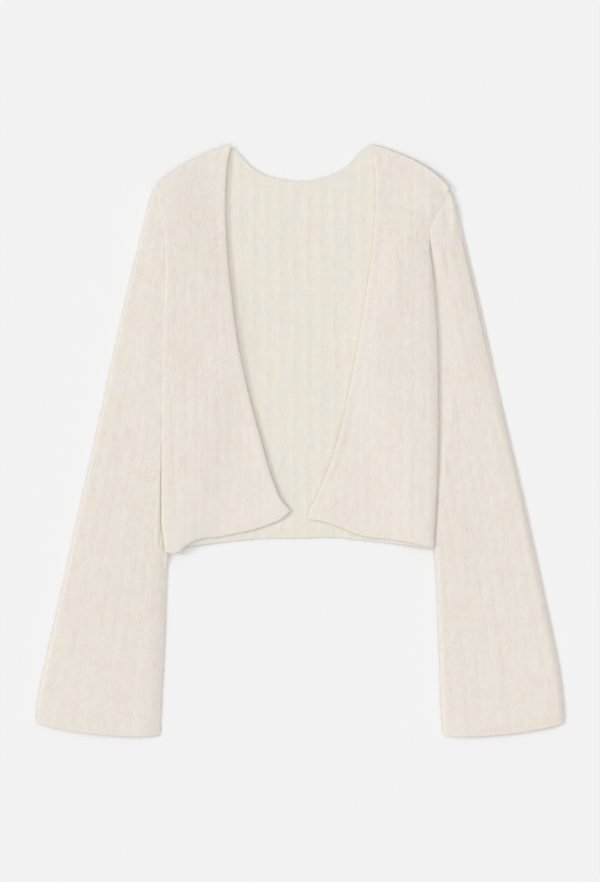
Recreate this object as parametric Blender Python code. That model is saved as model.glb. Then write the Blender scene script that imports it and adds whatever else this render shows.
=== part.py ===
"""An open cardigan of ribbed knit, laid flat on its back with the sleeves drawn down.

The back panel lies on the surface and the two fronts lie on it. Each sleeve is a flattened tube
whose inner part is tucked under the side of the body. Left and right are the wearer's, so the
wearer's left is at +X. +Y points to the neck and +Z up from the surface.

The sizes are in millimetres. Every panel is a wall of cloth between an upper and an under
surface, and its ribs are raised on the upper one.
"""

import math
from collections import namedtuple

import bmesh
import bpy
import numpy as np

MM = 0.001

# The cloth
WALL = 2.0
PRESSED_WALL = 1.4
RIB_HEIGHT = 0.7
SEAM_GAP = 0.3
FOLD_GAP = 0.3
LAYER_GAP = 0.45

# The ribs
FRONT_RIB_PITCH = 12.0
FRONT_RIB_START = 130.9
BACK_RIB_PITCH = 14.93
BACK_RIB_START = -8.0
SLEEVE_RIBS = 9

# The edges
ROLL_WIDTH = 9.0
ROLL_HEIGHT = 0.8
SEAM_RAISED = 0.4
SEAM_ROUND = 5.0
SEAM_DROP = 0.9
EDGE_ROUND = 1.6
EDGE_DROP = 0.6

# How the body lies over the sleeves
TUCK_SLOPE = 46.0
PRESS_START = 11.0
PRESS_END = 4.0
PRESS_FOOT = -140.0
PRESS_FOOT_LENGTH = 12.0

CUFF_BOW = 7.5
CUFF_BOW_START = 0.8

PRESSED_HEIGHT = 2 * PRESSED_WALL + FOLD_GAP
TUCK_LIFT = PRESSED_HEIGHT + SEAM_GAP
FRONT_LIFT = WALL + RIB_HEIGHT + LAYER_GAP
FRONT_SEAM_DROP = FRONT_LIFT - WALL - SEAM_GAP

CLOTH_COLOUR = (0.807, 0.775, 0.686, 1.0)


def table(columns, *rows):
    """A table of numbers whose columns are read by name."""
    return np.array(list(rows), dtype=[(name, float) for name in columns.split()])


# Distances out from the centre line, on the wearer's right and left, by height up the garment.
FRONT_EDGE = table(
    "y right left",
    (-88, 3.0, 6.5),
    (-77, 11.0, 9.5),
    (-65, 21.0, 16.0),
    (-50, 27.8, 22.5),
    (3, 44.0, 41.5),
    (56, 58.0, 53.5),
    (109, 69.0, 63.5),
    (161, 76.0, 72.0),
    (214, 81.0, 79.0),
    (267, 82.5, 82.5),
    (307, 80.0, 81.0),
    (327, 76.0, 77.0))

SIDE_EDGE = table(
    "y right left",
    (-118, 149.5, 146.5),
    (-97, 152.5, 147.8),
    (-65, 153.0, 149.6),
    (0, 153.0, 151.5),
    (60, 152.5, 151.5),
    (113, 152.0, 150.5),
    (155, 150.0, 148.0),
    (193, 149.5, 144.5),
    (211, 150.0, 142.5),
    (230, 151.5, 144.0),
    (259, 156.0, 156.8),
    (278, 160.5, 164.5))

SLEEVE_OUTER = table(
    "y right left",
    (-309, 291.5, 291.4),
    (-285, 290.0, 289.6),
    (-263, 285.5, 287.0),
    (-175, 265.5, 269.5),
    (-65, 241.2, 245.5),
    (45, 216.8, 220.2),
    (155, 192.6, 196.4),
    (243, 171.5, 175.5),
    (265, 166.0, 170.0),
    (280, 157.5, 161.0))

SLEEVE_INNER = table(
    "y right left",
    (-323, 155.0, 156.8),
    (-298, 154.0, 155.2),
    (-220, 150.0, 152.5),
    (-150, 147.5, 149.6),
    (-127, 146.3, 148.0),
    (-105, 142.0, 144.6),
    (-50, 130.0, 132.5),
    (105, 96.0, 98.5))

# How far out the body lies level on a tucked sleeve. The underarm is at a height of 105.
TUCK_EDGE = table(
    "y out",
    (-118, 134.0),
    (-50, 122.0),
    (20, 106.0),
    (65, 94.0),
    (105, 89.0),
    (145, 96.0),
    (200, 118.0),
    (280, 148.0))

# Heights by distance out from the centre line.
FRONT_HEM_RIGHT = table(
    "out y",
    (11.0, -77.0),
    (18.0, -84.0),
    (32.5, -91.6),
    (45.0, -96.0),
    (83.0, -104.8),
    (124.0, -114.0),
    (134.0, -122.0),
    (142.0, -124.0),
    (149.5, -121.5))

FRONT_HEM_LEFT = table(
    "out y",
    (6.8, -86.5),
    (22.5, -88.5),
    (43.5, -95.0),
    (60.0, -102.3),
    (105.0, -109.4),
    (137.0, -115.2),
    (146.5, -117.4))

SHOULDER = table(
    "out y",
    (76.0, 326.5),
    (88.0, 323.8),
    (101.0, 319.2),
    (127.0, 307.6),
    (141.0, 298.8),
    (151.0, 291.4),
    (157.5, 285.0),
    (164.5, 277.0))

# Heights by distance across, towards the wearer's left.
BACK_NECK = table(
    "x y",
    (-76.0, 326.5),
    (-65.0, 315.5),
    (-57.0, 306.5),
    (-44.5, 297.8),
    (-24.0, 290.6),
    (2.0, 287.3),
    (22.0, 290.0),
    (42.0, 297.6),
    (55.0, 306.2),
    (66.0, 319.3),
    (77.0, 326.8))

BACK_HEM = table(
    "x y",
    (-149.5, -118.5),
    (-113.0, -115.2),
    (-60.0, -109.4),
    (-42.0, -107.9),
    (0.0, -107.4),
    (37.0, -106.8),
    (72.0, -110.3),
    (125.0, -116.0),
    (146.5, -119.0))

# Where a rib's columns stand, as a share of the pitch, and how high the cloth is there.
OUTER_RIB = table("share height", (0.0, 0.0), (0.2, 0.85), (0.5, 1.0), (0.8, 0.85))
INNER_RIB = table("share height", (0.3, 0.1), (0.5, 1.0), (0.7, 0.1))

# The rolled front edge: its points in from the edge, and their share of its height.
ROLL = table("inset height", (0.0, 0.25), (1.2, 0.75), (3.6, 1.0), (6.6, 0.45))

# A sleeve's fold: its points in from the fold, and how far from its middle to its face.
FOLD = table("inset level", (0.35, 0.6), (1.5, 1.0))

# How far in from a side seam its points are.
SEAM_STATIONS = (0.0, 1.0, 3.0)

# Rows of points, as shares of the way up a panel or down a sleeve, closer where an edge bends.
PANEL_ROWS = (0.0, 0.003, 0.012, 0.035, *np.linspace(0.08, 0.93, 13), 0.986, 0.996, 1.0)
SLEEVE_ROWS = (0.0, 0.014, 0.035, *np.linspace(0.08, 0.95, 16), 1.0)

Point = namedtuple("Point", "station corner")
Side = namedtuple("Side", "name sign hem")
RIGHT = Side("right", -1, FRONT_HEM_RIGHT)
LEFT = Side("left", 1, FRONT_HEM_LEFT)


def smooth_step(value):
    """Runs from 0 to 1 with soft ends."""
    share = min(max(value, 0.0), 1.0)
    return share * share * (3 - 2 * share)


def curve(xs, ys, x):
    """A smooth curve through the points of a table, level with its end points beyond them."""
    x = min(max(x, xs[0]), xs[-1])
    i = min(int(np.searchsorted(xs, x, side="right")) - 1, len(xs) - 2)
    slopes = np.gradient(ys, xs)
    width = xs[i + 1] - xs[i]
    t = (x - xs[i]) / width
    start = ys[i] * (1 + 2 * t) * (1 - t) ** 2 + slopes[i] * width * t * (1 - t) ** 2
    end = ys[i + 1] * t * t * (3 - 2 * t) + slopes[i + 1] * width * t * t * (t - 1)
    return start + end


def front_edge(side, y):
    return curve(FRONT_EDGE["y"], FRONT_EDGE[side.name], y)


def side_edge(side, y):
    return curve(SIDE_EDGE["y"], SIDE_EDGE[side.name], y)


def shoulder(out):
    return curve(SHOULDER["out"], SHOULDER["y"], out)


def body_lift(x, y):
    """Height of the body's underside, which climbs from the surface on to the tucked sleeves."""
    level_from = curve(TUCK_EDGE["y"], TUCK_EDGE["out"], y)
    return TUCK_LIFT * smooth_step(1 + (abs(x) - level_from) / TUCK_SLOPE)


def rounding(distance, reach, drop):
    """How far a surface falls at this distance from an edge that is rounded off."""
    if distance >= reach:
        return 0.0
    share = 1 - max(distance, 0.0) / reach
    return drop * (1 - math.sqrt(1 - share * share))


def rib_columns(start, pitch, rib, low, high):
    """The columns of points that the ribs need between two edges, and their heights."""
    first = math.floor((low - start) / pitch)
    last = math.ceil((high - start) / pitch)
    columns = []
    for number in range(first, last + 1):
        for share, height in rib:
            position = start + (number + share - 0.5) * pitch
            if low < position < high:
                columns.append((position, height))
    return columns


def plain_columns(columns):
    """The columns that the plain side of a wall needs: those of the grooves and the crests."""
    return [(position, 0.0) for position, height in columns if height in (0.0, 1.0)]


class Cloth:
    """One closed solid of cloth, made up of rows of points and the strips between them."""

    def __init__(self):
        self.mesh = bmesh.new()

    def row(self, points):
        """Takes (station, x, y, z) and keeps each point with its station along the row."""
        row = []
        for station, x, y, z in points:
            row.append(Point(station, self.mesh.verts.new((x * MM, y * MM, z * MM))))
        return row

    def strip(self, first, second):
        """Joins two rows by triangles, always stepping along the row whose next point is nearer."""
        i = j = 0
        while i < len(first) - 1 or j < len(second) - 1:
            at_end = j == len(second) - 1
            ahead = i < len(first) - 1 and (at_end or first[i + 1].station <= second[j + 1].station)
            if ahead:
                self.mesh.faces.new((first[i].corner, first[i + 1].corner, second[j].corner))
                i += 1
            else:
                self.mesh.faces.new((first[i].corner, second[j + 1].corner, second[j].corner))
                j += 1

    def surface(self, rows):
        """Joins each row to the next, stretch by stretch."""
        for lower, upper in zip(rows, rows[1:]):
            for stretch, next_stretch in zip(lower, upper):
                self.strip(stretch, next_stretch)

    def finish(self, name):
        bmesh.ops.recalc_face_normals(self.mesh, faces=self.mesh.faces)
        data = bpy.data.meshes.new(name)
        self.mesh.to_mesh(data)
        self.mesh.free()
        data.shade_smooth()
        data.set_sharp_from_angle(angle=math.radians(50))
        piece = bpy.data.objects.new(name, data)
        bpy.context.scene.collection.objects.link(piece)
        piece.data.materials.append(knit_material(name))
        return piece


def knit_material(name):
    material = bpy.data.materials.new(name + " knit")
    material.use_nodes = True
    shader = material.node_tree.nodes["Principled BSDF"]
    shader.inputs["Base Color"].default_value = CLOTH_COLOUR
    shader.inputs["Roughness"].default_value = 0.95
    shader.inputs["Metallic"].default_value = 0.0
    return material


def close_panel(cloth, upper, under):
    """Closes the wall round a panel: along its two sides, then along its hem and its top."""
    for end in (0, -1):
        for i in range(len(upper) - 1):
            corners = [rows[j][end][end].corner for rows, j in
                       ((upper, i), (upper, i + 1), (under, i + 1), (under, i))]
            cloth.mesh.faces.new(corners)
    for j in (0, -1):
        cloth.strip(whole_row(upper[j]), whole_row(under[j]))


def whole_row(stretches):
    """The stretches of a row as one, each starting at the point where the last one ended."""
    row = list(stretches[0])
    for stretch in stretches[1:]:
        row.extend(stretch[1:])
    return row


def row_height(share, place, ends, hem, top):
    """Height of a panel's row at a place along it: its share of the way from the hem to the top."""
    def between(here):
        return (1 - share) * hem(here) + share * top(here)

    (first, first_y), (last, last_y) = ends
    across = (place - first) / (last - first)
    slack = (1 - across) * (first_y - between(first)) + across * (last_y - between(last))
    return between(place) + slack


def front_ends(side, share):
    """Where a row of a front starts, at the open edge, and where it ends, at the side."""
    front_y = (1 - share) * side.hem["y"][0] + share * SHOULDER["y"][0]
    side_y = (1 - share) * side.hem["y"][-1] + share * SIDE_EDGE["y"][-1]
    return (front_edge(side, front_y), front_y), (side_edge(side, side_y), side_y)


def make_front(side):
    def hem(out):
        return curve(side.hem["out"], side.hem["y"], out)

    cloth = Cloth()
    upper, under = [], []
    for share in PANEL_ROWS:
        ends = front_ends(side, share)
        front_out, side_out = ends[0][0], ends[1][0]

        def place(out, raised=None):
            """A point of the upper surface where it has a raised height, or of the underside."""
            y = row_height(share, out, ends, hem, shoulder)
            z = body_lift(side.sign * out, y) + FRONT_LIFT
            if raised is None:
                z -= rounding(side_out - out, SEAM_STATIONS[-1], FRONT_SEAM_DROP)
                z -= rounding(shoulder(out) - y, EDGE_ROUND, EDGE_DROP)
            else:
                z += WALL + raised
                z -= rounding(side_out - out, SEAM_ROUND, SEAM_DROP)
                z -= rounding(shoulder(out) - y, SEAM_ROUND, SEAM_DROP)
                z -= rounding(y - hem(out), EDGE_ROUND, EDGE_DROP)
                z -= rounding(out - front_out, EDGE_ROUND, EDGE_DROP)
            return (out, side.sign * out, y, z)

        roll_end = front_out + ROLL_WIDTH
        seam = [side_out - inset for inset in reversed(SEAM_STATIONS)]
        ribs = rib_columns(FRONT_RIB_START, FRONT_RIB_PITCH, OUTER_RIB, roll_end + 1, seam[0] - 1)

        roll = cloth.row([place(front_out + row["inset"], row["height"] * ROLL_HEIGHT) for row in ROLL])
        field = cloth.row([place(roll_end, 0.0)])
        field += cloth.row([place(out, height * RIB_HEIGHT) for out, height in ribs])
        seam_edge = cloth.row([place(out, SEAM_RAISED) for out in seam])
        upper.append((roll + field[:1], field + seam_edge[:1], seam_edge))

        edge = cloth.row([place(front_out)])
        across = [roll_end] + [out for out, _ in plain_columns(ribs)] + seam
        field = cloth.row([place(out) for out in across])
        under.append((edge + field[:1], field))
    cloth.surface(upper)
    cloth.surface(under)
    close_panel(cloth, upper, under)
    return cloth.finish("front_" + side.name)


def back_hem(x):
    return curve(BACK_HEM["x"], BACK_HEM["y"], x)


def back_top(x):
    """Height of the back's upper edge: the shoulders and, between them, the neckline."""
    if BACK_NECK["x"][0] < x < BACK_NECK["x"][-1]:
        return curve(BACK_NECK["x"], BACK_NECK["y"], x)
    return shoulder(abs(x))


def back_ends(share):
    """Where a row of the back meets the wearer's right side, and then the left."""
    ends = []
    for side, corner in ((RIGHT, BACK_HEM["y"][0]), (LEFT, BACK_HEM["y"][-1])):
        y = (1 - share) * corner + share * SIDE_EDGE["y"][-1]
        ends.append((side.sign * side_edge(side, y), y))
    return ends


def make_back():
    cloth = Cloth()
    upper, under = [], []
    for share in PANEL_ROWS:
        ends = back_ends(share)
        right_x, left_x = ends[0][0], ends[1][0]

        def place(x, raised=None):
            """A point of the upper surface where it has a raised height, or of the underside."""
            y = row_height(share, x, ends, back_hem, back_top)
            z = body_lift(x, y)
            if raised is None:
                z += rounding(min(x - right_x, left_x - x), SEAM_ROUND, SEAM_DROP)
            else:
                z += WALL + raised
                z -= rounding(y - back_hem(x), EDGE_ROUND, EDGE_DROP)
                z -= rounding(back_top(x) - y, EDGE_ROUND, EDGE_DROP)
            return (x, x, y, z)

        right_seam = [right_x + inset for inset in SEAM_STATIONS]
        left_seam = [left_x - inset for inset in reversed(SEAM_STATIONS)]
        ribs = rib_columns(BACK_RIB_START, BACK_RIB_PITCH, INNER_RIB, right_seam[-1] + 1, left_seam[0] - 1)
        ribs += [(BACK_NECK["x"][0], 0.0), (BACK_NECK["x"][-1], 0.0)]
        ribs.sort()

        across = [(right_x, 0.0)] + ribs + [(left_x, 0.0)]
        upper.append((cloth.row([place(x, height * RIB_HEIGHT) for x, height in across]),))

        across = right_seam + [x for x, _ in plain_columns(ribs)] + left_seam
        under.append((cloth.row([place(x) for x in across]),))
    cloth.surface(upper)
    cloth.surface(under)
    close_panel(cloth, upper, under)
    return cloth.finish("back")


def sleeve_ends(side, share_down):
    """The two ends of a row across a sleeve: at its outer fold, and at its inner one."""
    ends = []
    for edge in (SLEEVE_OUTER, SLEEVE_INNER):
        y = edge["y"][-1] + share_down * (edge["y"][0] - edge["y"][-1])
        ends.append((curve(edge["y"], edge[side.name], y), y))
    return ends


def pressed(side, out, y):
    """How far the body's side presses the sleeve flat, from 0 beside it to 1 under it."""
    inside = side_edge(side, y) - out
    beside = smooth_step((inside + PRESS_START) / (PRESS_START - PRESS_END))
    return beside * smooth_step((y - PRESS_FOOT) / PRESS_FOOT_LENGTH)


def make_sleeve(side):
    cloth = Cloth()
    upper, under, hollow_upper, hollow_under = [], [], [], []
    for share_down in SLEEVE_ROWS:
        (outer, outer_y), (inner, inner_y) = sleeve_ends(side, share_down)
        width = math.dist((outer, outer_y), (inner, inner_y))
        pitch = width / SLEEVE_RIBS
        bow = CUFF_BOW * smooth_step((share_down - CUFF_BOW_START) / (1 - CUFF_BOW_START))

        def place(inset, level, raised=0.0, in_hollow=False):
            """A point in from the outer fold; level runs from the wall's underside, -1, to its top."""
            across = inset / width
            out = outer + across * (inner - outer)
            y = outer_y + across * (inner_y - outer_y)
            y -= bow * math.sqrt(max(math.sin(math.pi * across), 0.0))
            press = pressed(side, out, y)
            middle = WALL + (PRESSED_WALL - WALL) * press + FOLD_GAP / 2
            reach = FOLD_GAP / 2 if in_hollow else middle
            z = middle + level * reach + raised * (1 - press)
            return (inset / pitch, side.sign * out, y, z)

        near_fold = [(row["inset"], row["level"]) for row in FOLD]
        far_fold = [(width - inset, level) for inset, level in reversed(near_fold)]
        ribs = rib_columns(pitch / 2, pitch, OUTER_RIB, near_fold[-1][0] + 1, far_fold[0][0] - 1)
        start, end = cloth.row([place(0.0, 0.0)]), cloth.row([place(width, 0.0)])

        across = [place(inset, level) for inset, level in near_fold]
        across += [place(inset, 1.0, height * RIB_HEIGHT) for inset, height in ribs]
        across += [place(inset, level) for inset, level in far_fold]
        upper.append((start + cloth.row(across) + end,))

        grooves = [inset for inset, height in ribs if height == 0.0]
        across = [place(inset, -level) for inset, level in near_fold]
        across += [place(inset, -1.0) for inset in grooves]
        across += [place(inset, -level) for inset, level in far_fold]
        under.append((start + cloth.row(across) + end,))

        start = cloth.row([place(WALL, 0.0, in_hollow=True)])
        end = cloth.row([place(width - WALL, 0.0, in_hollow=True)])
        for rows, level in ((hollow_upper, 1.0), (hollow_under, -1.0)):
            across = cloth.row([place(inset, level, in_hollow=True) for inset in grooves])
            rows.append((start + across + end,))
    for rows in (upper, under, hollow_upper, hollow_under):
        cloth.surface(rows)
    for end in (0, -1):
        cloth.strip(upper[end][0], hollow_upper[end][0])
        cloth.strip(under[end][0], hollow_under[end][0])
    return cloth.finish("sleeve_" + side.name)


def main():
    for leftover in list(bpy.data.objects):
        bpy.data.objects.remove(leftover, do_unlink=True)
    make_back()
    for side in (RIGHT, LEFT):
        make_front(side)
        make_sleeve(side)


main()
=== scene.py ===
"""The looks of the cardigan: brushed rib knit laid flat on its back, with the sleeves drawn down.

Every panel is a thin shell of cloth on the form of its solid. Its ribs, its rolled edge and its
creases are geometry, the loops of the knit are in its material, and brushed hairs stand on it.
Left and right are the wearer's, so the wearer's left is at +X. +Y points to the neck.
The cloth's own sizes are in millimetres.
"""

import math
from collections import namedtuple

import bmesh
import bpy
import numpy as np
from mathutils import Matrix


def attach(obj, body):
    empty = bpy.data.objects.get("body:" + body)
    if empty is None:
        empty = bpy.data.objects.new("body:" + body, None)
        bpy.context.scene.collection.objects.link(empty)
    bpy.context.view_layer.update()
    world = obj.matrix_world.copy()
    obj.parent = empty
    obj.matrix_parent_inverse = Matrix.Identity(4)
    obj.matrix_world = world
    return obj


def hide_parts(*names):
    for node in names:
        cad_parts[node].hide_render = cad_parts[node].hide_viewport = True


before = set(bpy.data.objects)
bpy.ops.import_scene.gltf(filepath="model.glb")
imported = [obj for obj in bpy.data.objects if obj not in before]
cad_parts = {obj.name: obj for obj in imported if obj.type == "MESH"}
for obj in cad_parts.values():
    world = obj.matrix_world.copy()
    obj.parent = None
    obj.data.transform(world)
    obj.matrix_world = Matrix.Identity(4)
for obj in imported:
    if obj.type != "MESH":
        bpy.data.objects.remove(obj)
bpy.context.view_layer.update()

MM = 0.001

# ---------------------------------------------------------------------------
# Camera, light and floor
# ---------------------------------------------------------------------------

# The photograph is 600 x 882 pixels, taken straight down, and one of them is 1.1 mm of cloth.
MM_PER_PIXEL = 1.1
PHOTO_HEIGHT = 882
PHOTO_CENTRE = (-0.55, -0.28)
LENS = 85.0
SENSOR = 36.0
CLOTH_LEVEL = 6.0
SIGHT_LIMIT = 50.0

SUN_FROM = (-1.0, 0.18, 0.60)
SUN_STRENGTH = 0.94
SUN_SPREAD = 10.0
OVERHEAD_STRENGTH = 1.0
OVERHEAD_SPREAD = 100.0
SKY_STRENGTH = 0.566
FLOOR_COLOUR = (0.86, 0.86, 0.86, 1.0)
FLOOR_SIZE = 8.0
FLOOR_LEVEL = -0.0002


def set_camera():
    data = bpy.data.cameras.new("camera")
    data.lens = LENS
    data.sensor_width = SENSOR
    camera = bpy.data.objects.new("camera", data)
    distance = PHOTO_HEIGHT * MM_PER_PIXEL * LENS / SENSOR + CLOTH_LEVEL
    camera.location = (PHOTO_CENTRE[0] * MM, PHOTO_CENTRE[1] * MM, distance * MM)
    data.clip_end = SIGHT_LIMIT
    bpy.context.scene.collection.objects.link(camera)
    bpy.context.scene.camera = camera


def set_light():
    world = bpy.data.worlds.new("studio")
    world.use_nodes = True
    sky = world.node_tree.nodes["Background"]
    sky.inputs["Color"].default_value = (1.0, 1.0, 1.0, 1.0)
    sky.inputs["Strength"].default_value = SKY_STRENGTH
    bpy.context.scene.world = world
    bpy.context.scene.view_settings.view_transform = "Standard"

    hang_lamp("window", SUN_FROM, SUN_STRENGTH, SUN_SPREAD)
    hang_lamp("overhead", (0.0, 0.0, 1.0), OVERHEAD_STRENGTH, OVERHEAD_SPREAD)


def hang_lamp(name, source, strength, spread):
    """A distant lamp whose light comes from this direction."""
    data = bpy.data.lights.new(name, "SUN")
    data.energy = strength
    data.angle = math.radians(spread)
    lamp = bpy.data.objects.new(name, data)
    across, along, up = source
    tilt, turn = math.atan2(math.hypot(across, along), up), math.atan2(across, -along)
    lamp.rotation_euler = (tilt, 0.0, turn)
    bpy.context.scene.collection.objects.link(lamp)


def lay_floor():
    half = FLOOR_SIZE / 2
    corners = [(-half, -half, FLOOR_LEVEL), (half, -half, FLOOR_LEVEL),
               (half, half, FLOOR_LEVEL), (-half, half, FLOOR_LEVEL)]
    mesh = bpy.data.meshes.new("floor")
    mesh.from_pydata(corners, [], [(0, 1, 2, 3)])
    floor = bpy.data.objects.new("floor", mesh)
    bpy.context.scene.collection.objects.link(floor)
    material = bpy.data.materials.new("paper floor")
    material.use_nodes = True
    shader = material.node_tree.nodes["Principled BSDF"]
    shader.inputs["Base Color"].default_value = FLOOR_COLOUR
    shader.inputs["Roughness"].default_value = 1.0
    shader.inputs["Specular IOR Level"].default_value = 0.0
    mesh.materials.append(material)


# ---------------------------------------------------------------------------
# The cloth's sizes, as in the solids
# ---------------------------------------------------------------------------

WALL = 2.0
PRESSED_WALL = 1.4
RIB_HEIGHT = 0.32
SLEEVE_RIB_HEIGHT = 0.26
BACK_RIB_HEIGHT = 0.34
OUTSIDE_GROOVE = 0.4
SEAM_GAP = 0.3
FOLD_GAP = 0.3
LAYER_GAP = 0.45
SOLID_RIB_HEIGHT = 0.7

FRONT_RIB_PITCH = 12.0
FRONT_RIB_START = 130.9
BACK_RIB_PITCH = 14.93
BACK_RIB_START = -8.0
SLEEVE_RIBS = 9
COURSE = 2.7

# Rough sizes of the panels, by which their points are spaced.
FRONT_WIDTH = 120.0
BACK_WIDTH = 310.0
SLEEVE_WIDTH = 120.0
BODY_LENGTH = 440.0
SLEEVE_LENGTH = 600.0

PRESSED_HEIGHT = 2 * PRESSED_WALL + FOLD_GAP
TUCK_LIFT = PRESSED_HEIGHT + SEAM_GAP
FRONT_LIFT = WALL + SOLID_RIB_HEIGHT + LAYER_GAP
TUCK_SLOPE = 46.0

# The tucked head of a sleeve lies lower between these heights up the garment.
HEAD_FLATTER = 1.0
HEAD_FROM = 215.0
HEAD_TO = 255.0

# The body's hem presses on the sleeves down to here.
PRESS_FOOT = -140.0
PRESS_FOOT_LENGTH = 12.0

# A cuff's edge bows down, along the last share of the sleeve.
CUFF_BOW = 7.5
CUFF_BOW_START = 0.8


def table(columns, *rows):
    """A table of numbers whose columns are read by name."""
    return np.array(list(rows), dtype=[(name, float) for name in columns.split()])


# Distances out from the centre line, on the wearer's right and left, by height up the garment.
FRONT_EDGE = table(
    "y right left",
    (-88, 3.0, 6.5),
    (-77, 11.0, 9.5),
    (-65, 21.0, 16.0),
    (-50, 27.8, 22.5),
    (3, 44.0, 41.5),
    (56, 58.0, 53.5),
    (109, 69.0, 63.5),
    (161, 76.0, 72.0),
    (214, 81.0, 79.0),
    (267, 82.5, 82.5),
    (307, 80.0, 81.0),
    (327, 76.0, 77.0))

SIDE_EDGE = table(
    "y right left",
    (-118, 149.5, 146.5),
    (-97, 152.5, 147.8),
    (-65, 153.0, 149.6),
    (0, 153.0, 151.5),
    (60, 152.5, 151.5),
    (113, 152.0, 150.5),
    (155, 150.0, 148.0),
    (193, 149.5, 144.5),
    (211, 150.0, 142.5),
    (230, 151.5, 144.0),
    (259, 156.0, 156.8),
    (278, 160.5, 164.5))

SLEEVE_OUTER = table(
    "y right left",
    (-309, 291.5, 291.4),
    (-285, 290.0, 289.6),
    (-263, 285.5, 287.0),
    (-175, 265.5, 269.5),
    (-65, 241.2, 245.5),
    (45, 216.8, 220.2),
    (155, 192.6, 196.4),
    (243, 171.5, 175.5),
    (265, 166.0, 170.0),
    (276, 161.2, 165.0),
    (282, 156.0, 159.5))

SLEEVE_INNER = table(
    "y right left",
    (-323, 155.0, 156.8),
    (-298, 154.0, 155.2),
    (-220, 150.0, 152.5),
    (-150, 147.5, 149.6),
    (-127, 146.3, 148.0),
    (-105, 142.0, 144.6),
    (-50, 130.0, 132.5),
    (105, 96.0, 98.5))

# How far out the body lies level on a tucked sleeve. The underarm is at a height of 105.
TUCK_EDGE = table(
    "y out",
    (-118, 134.0),
    (-50, 122.0),
    (20, 106.0),
    (65, 94.0),
    (105, 89.0),
    (145, 96.0),
    (200, 118.0),
    (280, 148.0))

# Heights by distance out from the centre line.
FRONT_HEM_RIGHT = table(
    "out y",
    (11.0, -77.0),
    (18.0, -84.0),
    (32.5, -91.6),
    (45.0, -96.0),
    (83.0, -104.8),
    (124.0, -114.0),
    (134.0, -122.0),
    (142.0, -124.0),
    (149.5, -121.5))

FRONT_HEM_LEFT = table(
    "out y",
    (6.8, -86.5),
    (22.5, -88.5),
    (43.5, -95.0),
    (60.0, -102.3),
    (105.0, -109.4),
    (137.0, -115.2),
    (146.5, -117.4))

SHOULDER = table(
    "out y",
    (76.0, 326.5),
    (88.0, 323.8),
    (101.0, 319.2),
    (127.0, 307.6),
    (141.0, 298.8),
    (151.0, 291.4),
    (157.5, 285.2),
    (161.5, 281.0),
    (164.5, 277.0))

# Heights by distance across, towards the wearer's left.
BACK_NECK = table(
    "x y",
    (-76.0, 326.5),
    (-65.0, 315.5),
    (-57.0, 306.5),
    (-44.5, 297.8),
    (-24.0, 290.6),
    (2.0, 287.3),
    (22.0, 290.0),
    (42.0, 297.6),
    (55.0, 306.2),
    (66.0, 319.3),
    (77.0, 326.8))

BACK_HEM = table(
    "x y",
    (-149.5, -118.5),
    (-113.0, -115.2),
    (-60.0, -109.4),
    (-42.0, -107.9),
    (0.0, -107.4),
    (37.0, -106.8),
    (72.0, -110.3),
    (125.0, -116.0),
    (146.5, -119.0))

# ---------------------------------------------------------------------------
# The cloth's relief
# ---------------------------------------------------------------------------

# Soft variation about a level, with the size of its cells across and along the ribs.
Variation = namedtuple("Variation", "level swing across along")
FRONT_WANDER = Variation(0.0, 0.07, 26.0, 95.0)
FRONT_STRENGTH = Variation(0.7, 0.6, 17.0, 55.0)
BACK_WANDER = Variation(0.0, 0.05, 30.0, 110.0)
BACK_STRENGTH = Variation(0.85, 0.45, 15.0, 50.0)
SLEEVE_WANDER = Variation(0.0, 0.06, 30.0, 90.0)
SLEEVE_STRENGTH = Variation(0.75, 0.55, 18.0, 45.0)
SLEEVE_FULLNESS = Variation(0.7, 0.5, 45.0, 70.0)

# Each rib outside has four columns of stitches, and each rib inside has five.
OUTSIDE_WALES = 4
INSIDE_WALES = 5
WALE_HEIGHT = 0.07
WALE_SHARE = 0.15
WALE_CELL = (1.0, 11.0)
NUB_HEIGHT = 0.08
NUB_CELL = (2.6, 6.5)
CLUMP_CELL = (9.0, 24.0)
BACK_NUBS = 0.6

# The ribs of a front start beyond its rolled edge and fade at its side and towards the shoulder.
RIBS_FROM = 9.0
RIBS_FADE = 5.0
RIBS_SIDE_FADE = 4.0
YOKE_FLATTER = 0.25
YOKE_FROM = 150.0
YOKE_LENGTH = 90.0

# The ribs of the back fade at its edges, and its neckline rolls out to the shoulders.
BACK_TOP_FADE = 8.0
BACK_SIDE_FADE = 5.0
NECK_HALF_WIDTH = 66.0
NECK_FADE = 8.0
BACK_CREASES_END = 60.0
UNDER_FADE = 6.0
SLEEVE_UNDER_FADE = 8.0

# The rolled front edge: height of the cloth by distance in from the edge.
ROLL = table(
    "inset height",
    (0.0, -0.5),
    (0.9, -0.2),
    (2.0, 0.06),
    (4.0, 0.22),
    (7.0, 0.14),
    (9.6, -0.06),
    (12.0, -0.02),
    (14.5, 0.0))

# The cloth by the front edge stands a little clear of the back.
EDGE_LOFT = {"right": 0.9, "left": -0.5}
EDGE_LOFT_REACH = 22.0

# The neckline at the back rolls less.
NECK_ROLL = table(
    "inset height",
    (0.0, 0.1),
    (2.8, 0.25),
    (5.5, 0.12),
    (8.0, -0.05),
    (10.0, 0.0))

# How far the side of the body rounds down towards the sleeve, and how much.
SIDE_ROUND = {"right": 6.0, "left": 13.0}
SIDE_DROP = {"right": 0.6, "left": 1.3}
SIDE_SINK = {"right": 0.0, "left": 1.0}
TOP_ROUND = 28.0
TOP_DROP = 1.6
HEM_ROUND = 7.0
HEM_DROP = 0.8
SHOULDER_SINK = 0.75
SHOULDER_SINK_START = 1.0
SHOULDER_SINK_REACH = 6.0
SIDE_SINK_SHARE = 0.8
SIDE_SEAM_ROUND = 3.0
THINNEST = 0.9

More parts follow.
